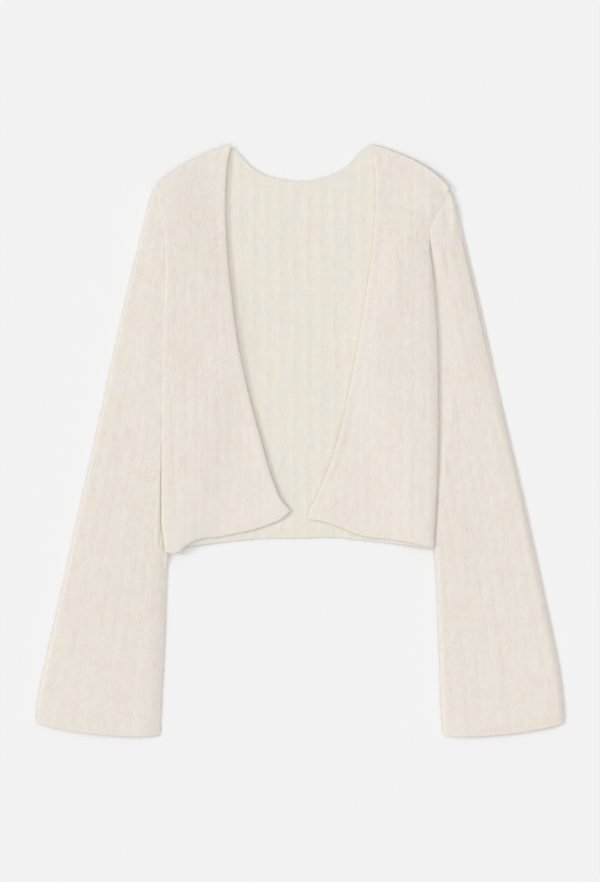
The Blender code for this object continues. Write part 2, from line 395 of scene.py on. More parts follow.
# Beside the armhole the side rounds from further in, and its rim is finer.
ARMHOLE_FROM = 170.0
ARMHOLE_LENGTH = 50.0
ARMHOLE_ROUND = 8.0
SIDE_RIM = 0.5
ARMHOLE_RIM_LESS = 0.3

# A sleeve's soft folds: the lip's height at the fold, and how far in its top slopes down to it.
FOLD_LIP = 1.1
FOLD_REACH = table(
    "y right_outer left_outer right_inner left_inner",
    (-320, 5.0, 7.0, 18.0, 6.0),
    (-130, 5.0, 8.0, 18.0, 6.0),
    (0, 5.0, 8.0, 12.0, 6.0),
    (60, 5.0, 16.0, 12.0, 6.0),
    (110, 5.0, 28.0, 12.0, 6.0),
    (170, 5.0, 38.0, 13.0, 6.0),
    (215, 5.0, 34.0, 13.0, 6.0),
    (242, 5.0, 13.0, 13.0, 6.0),
    (262, 5.0, 6.0, 13.0, 6.0))
PUFF = 0.6
PLUMP_REACH = 24.0
CUFF_WALL = 1.3
CUFF_WALL_LENGTH = 12.0
CUFF_PUFF = 0.9
CUFF_PUFF_LENGTH = 45.0

# The groove between the body and a sleeve, by height: where the sleeve starts to dip beside the
# body's edge, where it is down, the share to which it meets the body's own level, and that level.
GROOVE = table(
    "y right_start right_end right_meet right_level left_start left_end left_meet left_level",
    (-120, 2.8, -0.8, 0.0, 7.1, 4.0, -0.4, 0.0, 6.0),
    (-70, 2.6, -1.4, 0.3, 7.1, 5.0, -0.2, 0.0, 6.0),
    (-10, 0.8, -2.6, 0.8, 7.1, 11.0, 0.4, 0.0, 6.0),
    (50, -0.2, -3.3, 1.0, 7.1, 20.0, 1.0, 0.0, 6.0),
    (110, -0.4, -3.6, 1.0, 7.1, 23.0, 1.0, 0.0, 6.0),
    (165, -0.4, -3.6, 1.0, 7.2, 20.0, 0.0, 0.3, 6.0),
    (205, -0.4, -3.6, 1.0, 7.2, 7.0, -1.5, 0.8, 6.1),
    (235, -0.9, -4.1, 1.0, 6.9, -0.9, -4.1, 1.0, 6.1),
    (258, -0.9, -4.1, 1.0, 6.1, -0.9, -4.1, 1.0, 5.45),
    (277, -0.9, -4.1, 1.0, 5.4, -0.9, -4.1, 1.0, 5.0))
MEETING_REACH = 38.0

# Soft ridges and troughs, listed one by one: from one point to another, half their width, and height.
FRONT_RIGHT_CREASES = table(
    "x1 y1 x2 y2 width height",
    (-150, 232, -149, 165, 2.2, -0.55),
    (-141, 218, -140, 202, 1.7, -0.6),
    (-98, 250, -104, 150, 7.0, 0.5),
    (-60, 40, -38, -50, 5.0, 0.45),
    (-120, 40, -112, -60, 8.0, 0.4),
    (-143, 70, -139, 8, 1.5, -0.45),
    (-140, 14, -138, -50, 1.5, -0.5),
    (-107, 128, -106, 40, 4.0, -0.3),
    (-139, -104, -131, -122, 3.5, 0.8),
    (-70, -90, -30, -78, 6.0, 0.5))

FRONT_LEFT_CREASES = table(
    "x1 y1 x2 y2 width height",
    (137, 226, 146, 217, 1.5, -0.8),
    (138, 224, 143, 232, 1.5, -0.6),
    (144, 262, 143, 246, 3.0, 0.9),
    (140, 216, 140, 205, 3.0, 0.7),
    (100, 240, 108, 140, 7.0, 0.45),
    (52, 40, 30, -60, 5.0, 0.4),
    (118, 30, 126, -70, 7.0, 0.4),
    (40, -84, 96, -100, 5.0, 0.4))

BACK_CREASES = table(
    "x1 y1 x2 y2 width height",
    (-30, 250, -22, 120, 9.0, 0.35),
    (24, 220, 34, 60, 8.0, 0.3),
    (-8, 60, 4, -80, 8.0, 0.3))

SLEEVE_RIGHT_CREASES = table(
    "x1 y1 x2 y2 width height",
    (-158, -98, -157, -118, 1.6, 0.55),
    (-161, -92, -161, -120, 1.6, -0.6),
    (-154, -96, -155, -118, 1.4, -0.6),
    (-163, 150, -176, 60, 6.0, 0.5),
    (-205, 40, -215, -60, 9.0, 0.6),
    (-180, -150, -240, -190, 9.0, 0.5),
    (-200, -230, -262, -215, 10.0, 0.5),
    (-186, -60, -190, -140, 8.0, 0.4))

SLEEVE_LEFT_CREASES = table(
    "x1 y1 x2 y2 width height",
    (154, 216, 154, 176, 2.0, 0.5),
    (161, 216, 163, 172, 2.2, -0.8),
    (161, 266, 163, 228, 5.0, -1.4),
    (172, 140, 190, 50, 7.0, 0.5),
    (165, 50, 166, 12, 2.2, 0.5),
    (173, 56, 177, -22, 2.4, -0.5),
    (160, -8, 159, -48, 2.0, 0.5),
    (210, 20, 226, -70, 9.0, 0.6),
    (176, -60, 180, -140, 7.0, 0.5),
    (190, -180, 250, -205, 10.0, 0.5),
    (214, -240, 220, -300, 8.0, 0.5))

Side = namedtuple("Side", "name sign hem creases sleeve_creases seed")
RIGHT = Side("right", -1, FRONT_HEM_RIGHT, FRONT_RIGHT_CREASES, SLEEVE_RIGHT_CREASES, 11)
LEFT = Side("left", 1, FRONT_HEM_LEFT, FRONT_LEFT_CREASES, SLEEVE_LEFT_CREASES, 23)

NOISE_CELLS = 64
CREASE_FADE = 0.75
OUTER_RIB_POWER = 2.6
INNER_RIB_WIDTH = 0.42


def smooth_step(value):
    """Runs from 0 to 1 with soft ends."""
    share = np.clip(value, 0.0, 1.0)
    return share * share * (3 - 2 * share)


def curve(xs, ys, x):
    """A smooth curve through the points of a table, level with its end points beyond them."""
    x = np.clip(x, xs[0], xs[-1])
    i = np.clip(np.searchsorted(xs, x, side="right") - 1, 0, len(xs) - 2)
    slopes = np.gradient(ys, xs)
    width = xs[i + 1] - xs[i]
    t = (x - xs[i]) / width
    start = ys[i] * (1 + 2 * t) * (1 - t) ** 2 + slopes[i] * width * t * (1 - t) ** 2
    end = ys[i + 1] * t * t * (3 - 2 * t) + slopes[i + 1] * width * t * t * (t - 1)
    return start + end


def soft_noise(x, y, size_x, size_y, seed):
    """Smooth random values between -1 and 1, in cells of this size."""
    cells = np.random.default_rng(seed).uniform(-1, 1, (NOISE_CELLS, NOISE_CELLS))
    u, v = x / size_x, y / size_y
    i, j = np.floor(u).astype(int), np.floor(v).astype(int)
    a, b = smooth_step(u - i), smooth_step(v - j)
    i, j, next_i, next_j = (k % NOISE_CELLS for k in (i, j, i + 1, j + 1))
    low = (1 - a) * cells[i, j] + a * cells[next_i, j]
    high = (1 - a) * cells[i, next_j] + a * cells[next_i, next_j]
    return (1 - b) * low + b * high


def varied(variation, x, y, seed):
    """A value that varies softly about its level."""
    noise = soft_noise(x, y, variation.across, variation.along, seed)
    return variation.level + variation.swing * noise


def creased(creases, x, y):
    """Height that the creases of a piece add at these places."""
    height = np.zeros_like(x)
    for crease in creases:
        ax, ay = crease["x1"], crease["y1"]
        dx, dy = crease["x2"] - ax, crease["y2"] - ay
        along = ((x - ax) * dx + (y - ay) * dy) / (dx * dx + dy * dy)
        held = np.clip(along, 0.0, 1.0)
        away = np.hypot(x - ax - held * dx, y - ay - held * dy)
        fade = 1 - CREASE_FADE * (2 * held - 1) ** 2
        height += crease["height"] * fade * np.exp(-((away / crease["width"]) ** 2))
    return height


def outer_rib(phase):
    """A broad round rib with a narrow groove at each side. Its crest is at a whole phase."""
    off = np.abs(phase - np.round(phase)) * 2
    return 1 - off ** OUTER_RIB_POWER


def wales(phase, along, count, seed):
    """The columns of stitches in a rib, some raised more than others along the way."""
    column = np.cos(2 * math.pi * phase * count)
    raised = np.maximum(WALE_SHARE + soft_noise(phase * count, along, *WALE_CELL, seed), 0.0)
    return WALE_HEIGHT * column * raised


def inner_rib(phase):
    """The inside of the same knit: narrow raised columns on broad low ones."""
    off = np.abs(phase - np.round(phase)) * 2
    return np.exp(-((off / INNER_RIB_WIDTH) ** 2))


def rim(distance, radius):
    """How far a face of the cloth falls at this distance from an edge that is half round."""
    share = 1 - np.clip(distance / radius, 0.0, 1.0)
    return radius * (1 - np.sqrt(1 - share * share))


def rounding(distance, reach, drop):
    """How far a face falls within this reach of an edge that is a quarter round."""
    share = 1 - np.clip(distance / reach, 0.0, 1.0)
    return drop * (1 - np.sqrt(1 - share * share))


def sloping(distance, reach, drop):
    """How far a face falls on its gentle way down to an edge."""
    share = 1 - np.clip(distance / reach, 0.0, 1.0)
    return drop * share * share


def front_edge(side, y):
    """How far out the open edge of a front lies."""
    return curve(FRONT_EDGE["y"], FRONT_EDGE[side.name], y)


def side_edge(side, y):
    """How far out the body's side lies."""
    return curve(SIDE_EDGE["y"], SIDE_EDGE[side.name], y)


def shoulder(out):
    """Height of the shoulder line."""
    return curve(SHOULDER["out"], SHOULDER["y"], out)


def back_hem(x):
    return curve(BACK_HEM["x"], BACK_HEM["y"], x)


def back_top(x):
    """Height of the back's upper edge: the shoulders and, between them, the neckline."""
    in_neck = (x > BACK_NECK["x"][0]) & (x < BACK_NECK["x"][-1])
    return np.where(in_neck, curve(BACK_NECK["x"], BACK_NECK["y"], x), shoulder(np.abs(x)))


def head_flatter(y):
    """How much lower the tucked head of a sleeve lies, near the shoulder."""
    return HEAD_FLATTER * smooth_step((y - HEAD_FROM) / (HEAD_TO - HEAD_FROM))


def body_lift(x, y):
    """Height of the body's underside, which climbs from the surface on to the tucked sleeves."""
    level_from = curve(TUCK_EDGE["y"], TUCK_EDGE["out"], y)
    return (TUCK_LIFT - head_flatter(y)) * smooth_step(1 + (np.abs(x) - level_from) / TUCK_SLOPE)


def nubs(x, y, seed):
    """The small unevenness of brushed loops, longer along a rib than across it."""
    fine = soft_noise(x, y, *NUB_CELL, seed)
    clumps = soft_noise(x, y, *CLUMP_CELL, seed + 1)
    return NUB_HEIGHT * fine * np.abs(fine) + NUB_HEIGHT * clumps


def row_height(share, place, ends, hem, top):
    """Height of a panel's rows: each one's share of the way from the hem to the top."""
    def between(here):
        return (1 - share) * hem(here) + share * top(here)

    (first, first_y), (last, last_y) = ends
    across = (place - first) / (last - first)
    slack = (1 - across) * (first_y - between(first)) + across * (last_y - between(last))
    return between(place) + slack


# ---------------------------------------------------------------------------
# Shells
# ---------------------------------------------------------------------------

# Where the columns and rows of points stand close together at an edge, in from it.
EDGE_STEPS = (0.0, 0.3, 0.8, 1.5, 2.4, 3.5)
COLUMN_STEP = 1.35
ROW_STEP = 1.9
UNDER_COLUMN_STEP = 2
UNDER_ROW_STEP = 4


class Shell:
    """A closed skin of cloth, made up of grids of points and the bands between them."""

    def __init__(self):
        self.points, self.places, self.quads, self.triangles = [], [], [], []
        self.count = 0

    def add(self, x, y, z, ribs, courses):
        """Takes arrays of one shape and gives back the numbers of the points, in that shape."""
        parts = [np.broadcast_to(part, x.shape).ravel() for part in (x, y, z, ribs, courses)]
        self.points.append(np.stack(parts[:3], 1) * MM)
        self.places.append(np.stack(parts[3:], 1))
        corners = np.arange(self.count, self.count + x.size).reshape(x.shape)
        self.count += x.size
        return corners

    def fill(self, corners):
        """Quads over a grid of points."""
        low, high = corners[:-1], corners[1:]
        quads = np.stack([low[:, :-1], low[:, 1:], high[:, 1:], high[:, :-1]], -1)
        self.quads.append(quads.reshape(-1, 4))

    def band(self, first, first_at, second, second_at):
        """Triangles between two rows, stepping along the row whose next point comes first."""
        i = j = 0
        found = []
        while i < len(first) - 1 or j < len(second) - 1:
            at_end = j == len(second) - 1
            if i < len(first) - 1 and (at_end or first_at[i + 1] <= second_at[j + 1]):
                found.append((first[i], first[i + 1], second[j]))
                i += 1
            else:
                found.append((first[i], second[j + 1], second[j]))
                j += 1
        self.triangles.append(np.array(found))

    def finish(self, name, material):
        points = np.concatenate(self.points)
        places = np.concatenate(self.places)
        quads, triangles = np.concatenate(self.quads), np.concatenate(self.triangles)
        made = mesh_object(name, points, [quads, triangles], material, places)
        work = bmesh.new()
        work.from_mesh(made.data)
        bmesh.ops.recalc_face_normals(work, faces=work.faces)
        work.to_mesh(made.data)
        work.free()
        return made


def mesh_object(name, points, face_sets, material, places):
    """An object from arrays of points and faces, with each point's place in the knit as a map."""
    mesh = bpy.data.meshes.new(name)
    corners = np.concatenate([faces.ravel() for faces in face_sets])
    sides = np.concatenate([np.full(len(faces), faces.shape[1]) for faces in face_sets])
    mesh.vertices.add(len(points))
    mesh.vertices.foreach_set("co", points.astype(np.float32).ravel())
    mesh.loops.add(len(corners))
    mesh.loops.foreach_set("vertex_index", corners.astype(np.int32))
    mesh.polygons.add(len(sides))
    mesh.polygons.foreach_set("loop_start", (np.cumsum(sides) - sides).astype(np.int32))
    mesh.polygons.foreach_set("use_smooth", np.ones(len(sides), bool))
    layer = mesh.uv_layers.new(name="knit")
    layer.uv.foreach_set("vector", places[corners].astype(np.float32).ravel())
    mesh.update(calc_edges=True)
    mesh.validate()
    mesh.materials.append(material)
    made = bpy.data.objects.new(name, mesh)
    bpy.context.scene.collection.objects.link(made)
    return made


def ring(corners, column_shares, row_shares):
    """The points round a grid, closed, and how far round each one is."""
    around = np.concatenate([
        corners[0, :-1], corners[:-1, -1], corners[-1, :0:-1], corners[::-1, 0]])
    at = np.concatenate([
        column_shares[:-1], 1 + row_shares[:-1], 3 - column_shares[:0:-1], 4 - row_shares[::-1]])
    return around, at


def spaced(length, step):
    """Stations along this length, close together at both ends, as shares of it."""
    near = np.array(EDGE_STEPS)
    middle_length = length - 2 * near[-1]
    middle = np.linspace(near[-1], length - near[-1], max(int(round(middle_length / step)), 2) + 1)
    return np.concatenate([near[:-1], middle, (length - near[:-1])[::-1]]) / length


def close_panel(shell, place, columns, rows):
    """Lays a panel's upper side as a fine grid and its underside as a coarse one, and joins them.

    place gives x, y, the two heights and the place in the knit, for columns and rows as shares.
    """
    def laid(column_shares, row_shares, upper):
        u, v = np.meshgrid(column_shares, row_shares)
        x, y, top, under, ribs, courses = place(u, v)
        return shell.add(x, y, top if upper else under, ribs, courses)

    top = laid(columns, rows, True)
    shell.fill(top)
    turned = laid(columns[1:-1], rows[1:-1], False)
    coarse_columns = np.append(columns[2:-3:UNDER_COLUMN_STEP], columns[-3])
    coarse_rows = np.append(rows[2:-3:UNDER_ROW_STEP], rows[-3])
    under = laid(coarse_columns, coarse_rows, False)
    shell.fill(under)
    edge, edge_at = ring(top, columns, rows)
    turn, turn_at = ring(turned, shares_of(columns[1:-1]), shares_of(rows[1:-1]))
    inner, inner_at = ring(under, shares_of(coarse_columns), shares_of(coarse_rows))
    shell.band(edge, edge_at, turn, turn_at)
    shell.band(turn, turn_at, inner, inner_at)


def shares_of(stations):
    """The same stations counted from 0 at the first to 1 at the last."""
    return (stations - stations[0]) / (stations[-1] - stations[0])


def to_width(shares, width, length):
    """Spreads columns so that those near the edges keep their distance from them in every row."""
    stations = shares * length
    near = EDGE_STEPS[-1]
    middle = near + (stations - near) / (length - 2 * near) * (width - 2 * near)
    return np.where(stations < near, stations,
                    np.where(stations > length - near, width - (length - stations), middle))


def front_surface(side):
    """A function that gives the points of a front for shares across from its edge and up it."""
    def hem(out):
        return curve(side.hem["out"], side.hem["y"], out)

    def place(u, v):
        edge_y = (1 - v) * side.hem["y"][0] + v * SHOULDER["y"][0]
        side_y = (1 - v) * side.hem["y"][-1] + v * SIDE_EDGE["y"][-1]
        first, last = front_edge(side, edge_y), side_edge(side, side_y)
        inset = to_width(u, last - first, FRONT_WIDTH)
        out = first + inset
        y = row_height(v, out, ((first, edge_y), (last, side_y)), hem, shoulder)
        x = side.sign * out
        to_side, to_top, to_hem = last - out, shoulder(out) - y, y - hem(out)

        wander = varied(FRONT_WANDER, x, y, side.seed)
        phase = (out - FRONT_RIB_START) / FRONT_RIB_PITCH + wander
        rolled = curve(ROLL["inset"], ROLL["height"], inset)
        ribbed = smooth_step((inset - RIBS_FROM) / RIBS_FADE)
        ribbed *= smooth_step(to_side / RIBS_SIDE_FADE)
        strength = varied(FRONT_STRENGTH, x, y, side.seed + 3)
        strength -= YOKE_FLATTER * smooth_step((y - YOKE_FROM) / YOKE_LENGTH)
        columns = wales(phase, y, OUTSIDE_WALES, side.seed + 7)
        relief = (RIB_HEIGHT * outer_rib(phase) * strength + columns) * ribbed
        relief += rolled + nubs(x, y, side.seed + 5)

        crease = creased(side.creases, x, y)
        base = body_lift(x, y) + FRONT_LIFT + np.maximum(crease, 0.0)
        base += EDGE_LOFT[side.name] * smooth_step(1 - inset / EDGE_LOFT_REACH)
        base -= rounding(to_side, SIDE_SEAM_ROUND, FRONT_LIFT - WALL - SEAM_GAP)
        base -= sloping(to_side, SIDE_ROUND[side.name] * SIDE_SINK_SHARE, SIDE_SINK[side.name])
        inside = smooth_step((to_side - SHOULDER_SINK_START) / SHOULDER_SINK_REACH)
        base -= SHOULDER_SINK * smooth_step(1 - to_top / TOP_ROUND) * inside
        thick = WALL + relief + np.minimum(crease, 0.0)
        at_armhole = smooth_step((y - ARMHOLE_FROM) / ARMHOLE_LENGTH)
        side_reach = SIDE_ROUND[side.name] + ARMHOLE_ROUND * at_armhole
        thick -= sloping(to_side, side_reach, SIDE_DROP[side.name])
        thick -= sloping(to_top, TOP_ROUND, TOP_DROP)
        thick -= sloping(to_hem, HEM_ROUND, HEM_DROP)
        thick = np.maximum(thick, THINNEST)
        sewn = thick * (SIDE_RIM - ARMHOLE_RIM_LESS * at_armhole)
        fall = np.maximum(np.maximum(rim(inset, thick / 2), rim(to_side, sewn)),
                          np.maximum(rim(to_top, thick / 2), rim(to_hem, thick / 2)))
        return x, y, base + thick - fall, base + fall, phase, y / COURSE

    return place


def back_surface():
    """A function that gives the points of the back for shares across and up it."""
    def place(u, v):
        right_y = (1 - v) * BACK_HEM["y"][0] + v * SIDE_EDGE["y"][-1]
        left_y = (1 - v) * BACK_HEM["y"][-1] + v * SIDE_EDGE["y"][-1]
        first, last = -side_edge(RIGHT, right_y), side_edge(LEFT, left_y)
        inset = to_width(u, last - first, BACK_WIDTH)
        x = first + inset
        y = row_height(v, x, ((first, right_y), (last, left_y)), back_hem, back_top)
        to_right, to_left, to_top, to_hem = inset, last - x, back_top(x) - y, y - back_hem(x)

        wander = varied(BACK_WANDER, x, y, 31)
        phase = (x - BACK_RIB_START) / BACK_RIB_PITCH + wander
        under_neck = 1 - smooth_step((np.abs(x) - NECK_HALF_WIDTH) / NECK_FADE)
        rolled = curve(NECK_ROLL["inset"], NECK_ROLL["height"], to_top) * under_neck
        strength = varied(BACK_STRENGTH, x, y, 33)
        relief = BACK_RIB_HEIGHT * inner_rib(phase) * strength + wales(phase, y, INSIDE_WALES, 37)
        to_sides = np.minimum(to_right, to_left)
        relief *= smooth_step(to_top / BACK_TOP_FADE) * smooth_step(to_sides / BACK_SIDE_FADE)
        relief += rolled + BACK_NUBS * nubs(x, y, 35)

        crease = creased(BACK_CREASES, x, y) * (np.abs(x) < BACK_CREASES_END)
        base = body_lift(x, y)
        thick = np.maximum(WALL + relief + crease, THINNEST)
        thick -= sloping(to_left, SIDE_ROUND["left"] * SIDE_SINK_SHARE, SIDE_SINK["left"])
        thick = np.maximum(thick - sloping(to_hem, HEM_ROUND, HEM_DROP), THINNEST)
        fall = np.maximum(np.maximum(rim(to_right, thick / 2), rim(to_left, thick / 2)),
                          np.maximum(rim(to_top, thick / 2), rim(to_hem, thick / 2)))
        at_edge = np.minimum(to_sides, np.minimum(to_top, to_hem))
        grooved = OUTSIDE_GROOVE * (1 - outer_rib(phase + 0.5)) * smooth_step(at_edge / UNDER_FADE)
        return x, y, base + thick - fall, base + fall + grooved, phase, y / COURSE

    return place


def groove_size(side, size, y):
    """One of the groove's sizes at this height."""
    return curve(GROOVE["y"], GROOVE[side.name + "_" + size], y)


def fold_reach(side, fold, y):
    """How far in the sleeve's top slopes down to this fold."""
    return curve(FOLD_REACH["y"], FOLD_REACH[side.name + "_" + fold], y)


def pressed(side, out, y):
    """How far the body's side presses the sleeve flat, from 0 beside it to 1 under it."""
    beyond = out - side_edge(side, y)
    start, end = groove_size(side, "start", y), groove_size(side, "end", y)
    beside = smooth_step((start - beyond) / (start - end))
    return beside * smooth_step((y - PRESS_FOOT) / PRESS_FOOT_LENGTH)


SleevePoint = namedtuple("SleevePoint", "x y top under hollow_top hollow_under ribs courses")


def sleeve_surface(side):
    """A function that gives a sleeve's points for shares across from its outer fold and down it."""
    drop = SLEEVE_OUTER["y"][-1] - SLEEVE_OUTER["y"][0]

    def place(u, v):
        outer_y = SLEEVE_OUTER["y"][-1] - v * drop
        inner_y = SLEEVE_INNER["y"][-1] + v * (SLEEVE_INNER["y"][0] - SLEEVE_INNER["y"][-1])
        outer = curve(SLEEVE_OUTER["y"], SLEEVE_OUTER[side.name], outer_y)
        inner = curve(SLEEVE_INNER["y"], SLEEVE_INNER[side.name], inner_y)
        width = np.hypot(outer - inner, outer_y - inner_y)
        inset = to_width(u, width, SLEEVE_WIDTH)
        across = np.clip(inset / width, 0.0, 1.0)
        out = outer + across * (inner - outer)
        y = outer_y + across * (inner_y - outer_y)
        bow = CUFF_BOW * smooth_step((v - CUFF_BOW_START) / (1 - CUFF_BOW_START))
        y = y - bow * np.sqrt(np.maximum(np.sin(math.pi * across), 0.0))
        x = side.sign * out
        to_cuff = (1 - v) * drop

        press = pressed(side, out, y)
        free = 1 - press
        pitch = width / SLEEVE_RIBS
        wander = varied(SLEEVE_WANDER, x, y, side.seed + 40)
        phase = inset / pitch - 0.5 + wander
        strength = varied(SLEEVE_STRENGTH, x, y, side.seed + 41)
        columns = wales(phase, y, OUTSIDE_WALES, side.seed + 42)
        relief = SLEEVE_RIB_HEIGHT * outer_rib(phase) * strength + columns
        relief = (relief + nubs(x, y, side.seed + 43)) * free

        thin = (WALL - CUFF_WALL) * smooth_step(1 - to_cuff / CUFF_WALL_LENGTH)
        wall = WALL + (PRESSED_WALL - WALL - head_flatter(y) / 2) * press - thin
        to_fold = np.minimum(inset, width - inset)
        plump = smooth_step(to_fold / PLUMP_REACH) * free
        puff = PUFF * plump * varied(SLEEVE_FULLNESS, x, y, side.seed + 45)
        puff += CUFF_PUFF * plump * smooth_step(1 - to_cuff / CUFF_PUFF_LENGTH)
        crease = creased(side.sleeve_creases, x, y) * free
        beyond = np.maximum(out - side_edge(side, y), 0.0)
        meet = groove_size(side, "meet", y) * np.exp(-((beyond / MEETING_REACH) ** 2))
        high = 2 * wall + FOLD_GAP + puff
        high += meet * free * (groove_size(side, "level", y) - high)
        high = np.maximum(high + relief + crease, PRESSED_HEIGHT - head_flatter(y) - thin)
        end = rim(to_cuff, wall / 2)
        by_outer = inset < width / 2
        reach = np.where(by_outer, fold_reach(side, "outer", y), fold_reach(side, "inner", y))
        high = high - sloping(to_fold, reach, np.maximum(high - FOLD_LIP, 0.0) * free)
        fold = rim(to_fold, FOLD_LIP / 2)
        grooved = OUTSIDE_GROOVE * (1 - outer_rib(phase))
        grooved *= smooth_step(to_fold / SLEEVE_UNDER_FADE)
        top = high - fold - end
        under = fold + end + grooved * free
        roof = np.maximum(high - wall, wall + FOLD_GAP)
        return SleevePoint(x, y, top, under, roof, wall, phase, -v * drop / COURSE)

    return place


def sew_sleeve(shell, place, columns, rows):
    """Lays a sleeve's outside, fine above and coarse below, and its hollow, and closes both ends."""
    def laid(column_shares, row_shares, height):
        u, v = np.meshgrid(column_shares, row_shares)
        found = place(u, v)
        return shell.add(found.x, found.y, getattr(found, height), found.ribs, found.courses)

    top = laid(columns, rows, "top")
    shell.fill(top)
    coarse_columns = np.append(columns[1:-2:UNDER_COLUMN_STEP], columns[-2])
    coarse_rows = np.append(rows[0:-1:UNDER_ROW_STEP], rows[-1])
    under = laid(coarse_columns, coarse_rows, "under")
    shell.fill(under)
    for fold in (0, -1):
        shell.band(top[:, fold], rows, under[:, fold], coarse_rows)

    hollow_columns = np.append(columns[5:-6:UNDER_ROW_STEP], columns[-6])
    hollow_rows = np.append(rows[0:-3:UNDER_ROW_STEP], rows[-3])
    roof = laid(hollow_columns, hollow_rows, "hollow_top")
    bottom = laid(hollow_columns, hollow_rows, "hollow_under")
    shell.fill(roof)
    shell.fill(bottom)
    for end in (0, -1):
        shell.band(roof[:, end], hollow_rows, bottom[:, end], hollow_rows)
        shell.band(top[end, :], columns, roof[end, :], hollow_columns)
        whole_under = np.concatenate([top[end, :1], under[end, :], top[end, -1:]])
        whole_at = np.concatenate([columns[:1], coarse_columns, columns[-1:]])
        shell.band(whole_under, whole_at, bottom[end, :], hollow_columns)
        for fold in (0, -1):
            corner = (top[end, fold], roof[end, fold], bottom[end, fold])
            shell.triangles.append(np.array([corner]))


# ---------------------------------------------------------------------------
# Brushed hairs
# ---------------------------------------------------------------------------

HAIR_LENGTH = (2.5, 8.0)
HAIR_WIDTH = 0.09
HAIR_LIFT = (2.0, 16.0)
HAIR_SPREAD = 0.75
HAIR_MARGIN = 0.004
HAIR_BEND = 0.45
HAIR_SAG = (-0.14, 0.16)
HAIR_TAPER = 0.8
HAIR_CORNERS = 5
LOWEST_HAIR = 0.05
FRINGE_LENGTH = (1.5, 6.5)
FRINGE_LIFT = (-14.0, 16.0)
FRINGE_SPREAD = 0.55
FRINGE_DEPTH = 1.6
FRINGE_MARGIN = 0.002
FRINGE_SLANT = (-0.25, 0.1)
SHARE_STEP = 0.0008
EDGE_SAMPLES = 200

Edge = namedtuple("Edge", "across at hairs_per_mm")


def frames(place, u, v):
    """The points of the upper side at these shares, with its directions across, along and out."""
    before, after = np.clip(u - SHARE_STEP, 0, 1), np.clip(u + SHARE_STEP, 0, 1)
    below, above = np.clip(v - SHARE_STEP, 0, 1), np.clip(v + SHARE_STEP, 0, 1)
    here = np.stack(place(u, v)[:3], 1)
    over = np.stack(place(after, v)[:3], 1) - np.stack(place(before, v)[:3], 1)
    along = np.stack(place(u, above)[:3], 1) - np.stack(place(u, below)[:3], 1)
    over /= np.linalg.norm(over, axis=1, keepdims=True)
    along /= np.linalg.norm(along, axis=1, keepdims=True)
    normal = np.cross(over, along)
    normal /= np.linalg.norm(normal, axis=1, keepdims=True)
    normal *= np.where(normal[:, 2:3] < 0, -1, 1)
    return here, over, along, normal


def grow(here, level, normal, length, lift, random):
    """The corners of thin curved hairs from these points, each a quad and a tip."""
    number = len(here)
    lift = np.radians(random.uniform(*lift, number))[:, None]
    long = random.uniform(*length, number)[:, None] * random.uniform(0.5, 1, number)[:, None]
    bend = np.cross(normal, level) * random.uniform(-HAIR_BEND, HAIR_BEND, number)[:, None]
    middle = here + long * 0.5 * (level * np.cos(lift) + normal * np.sin(lift))
    sag = normal * random.uniform(*HAIR_SAG, number)[:, None]
    tip = middle + long * 0.5 * (level + bend + sag)
    aside = np.cross(level, normal) * HAIR_WIDTH / 2
    finer = aside * HAIR_TAPER
    corners = np.stack([here - aside, here + aside, middle + finer, middle - finer, tip], 1)
    corners[:, :, 2] = np.maximum(corners[:, :, 2], LOWEST_HAIR)
    return corners


def cover(place, wanted, count, random):
    """Hairs all over the upper side of a piece, where wanted."""
    u, v = random.uniform(HAIR_MARGIN, 1 - HAIR_MARGIN, (2, count * 3))
    here, over, along, normal = frames(place, u, v)
    kept = np.flatnonzero(wanted(here[:, 0], here[:, 1]))[:count]
    turn = random.normal(0, HAIR_SPREAD, len(kept)) + math.pi * random.integers(0, 2, len(kept))
    level = along[kept] * np.cos(turn)[:, None] + over[kept] * np.sin(turn)[:, None]
    return grow(here[kept], level, normal[kept], HAIR_LENGTH, HAIR_LIFT, random)


def fringe(place, wanted, edge, random):
    """Hairs that stand out from one edge of a piece, where wanted."""
    at, fixed = np.linspace(0, 1, EDGE_SAMPLES), np.full(EDGE_SAMPLES, float(edge.at))
    line = np.stack(place(fixed, at)[:2] if edge.across else place(at, fixed)[:2], 1)
    length = np.linalg.norm(np.diff(line, axis=0), axis=1).sum()
    number = int(length * edge.hairs_per_mm)
    run = random.uniform(FRINGE_MARGIN, 1 - FRINGE_MARGIN, number)
    depth = random.uniform(0.0, 1.0, number) ** 2
    span = FRONT_WIDTH if edge.across else BODY_LENGTH
    inward = np.clip(SHARE_STEP + depth * FRINGE_DEPTH / span, 0, 1)
    inward = 1 - inward if edge.at else inward
    u, v = (inward, run) if edge.across else (run, inward)
    here, over, along, _ = frames(place, u, v)
    kept = wanted(here[:, 0], here[:, 1])
    here, over, along = here[kept], over[kept], along[kept]
    outward = (over if edge.across else along) * (1 if edge.at else -1)
    side = along if edge.across else over
    outward[:, 2] = np.clip(outward[:, 2], *FRINGE_SLANT)
    turn = random.normal(0, FRINGE_SPREAD, len(here))[:, None]
    level = outward * np.cos(turn) + side * np.sin(turn)
    level /= np.linalg.norm(level, axis=1, keepdims=True)
    upright = np.tile([0.0, 0.0, 1.0], (len(here), 1))
    return grow(here, level, upright, FRINGE_LENGTH, FRINGE_LIFT, random)


